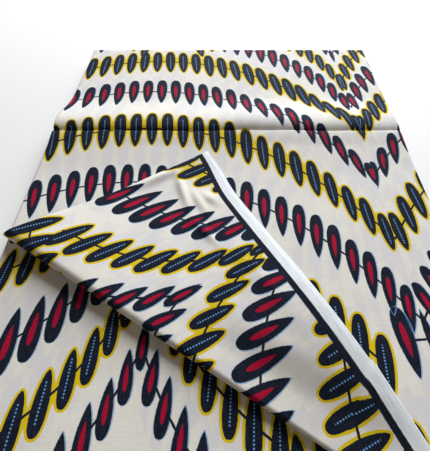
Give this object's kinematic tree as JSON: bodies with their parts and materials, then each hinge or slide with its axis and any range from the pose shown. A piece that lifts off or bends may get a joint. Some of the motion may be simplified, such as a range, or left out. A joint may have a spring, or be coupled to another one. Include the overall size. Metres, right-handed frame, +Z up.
{
  "type": "folded ankara wax-print cotton cloth with one corner turned back",
  "caption": "Length of printed cotton cloth folded into a low flat pack, its near left corner rolled over and turned back to show the ply below.",
  "frame": {"origin": "middle of the pack's outline on the surface that it lies on", "axes": "+Z up; +Y from the selvedges at the near edge to the centre folds at the far edge; +X to the right along the selvedge"},
  "size_m": [0.4572, 0.5852, 0.0318],
  "materials": {
    "wax_print_cotton": "matte plain-weave cotton, wax-printed in navy, gold and crimson",
    "cotton_edges": "matte folded edges of the same printed cotton"
  },
  "bodies": {
    "root": {"hidden_layers": "cotton_edges", "second_ply": "wax_print_cotton", "top_ply": "wax_print_cotton", "turned_corner": "wax_print_cotton"}
  },
  "joints": []
}
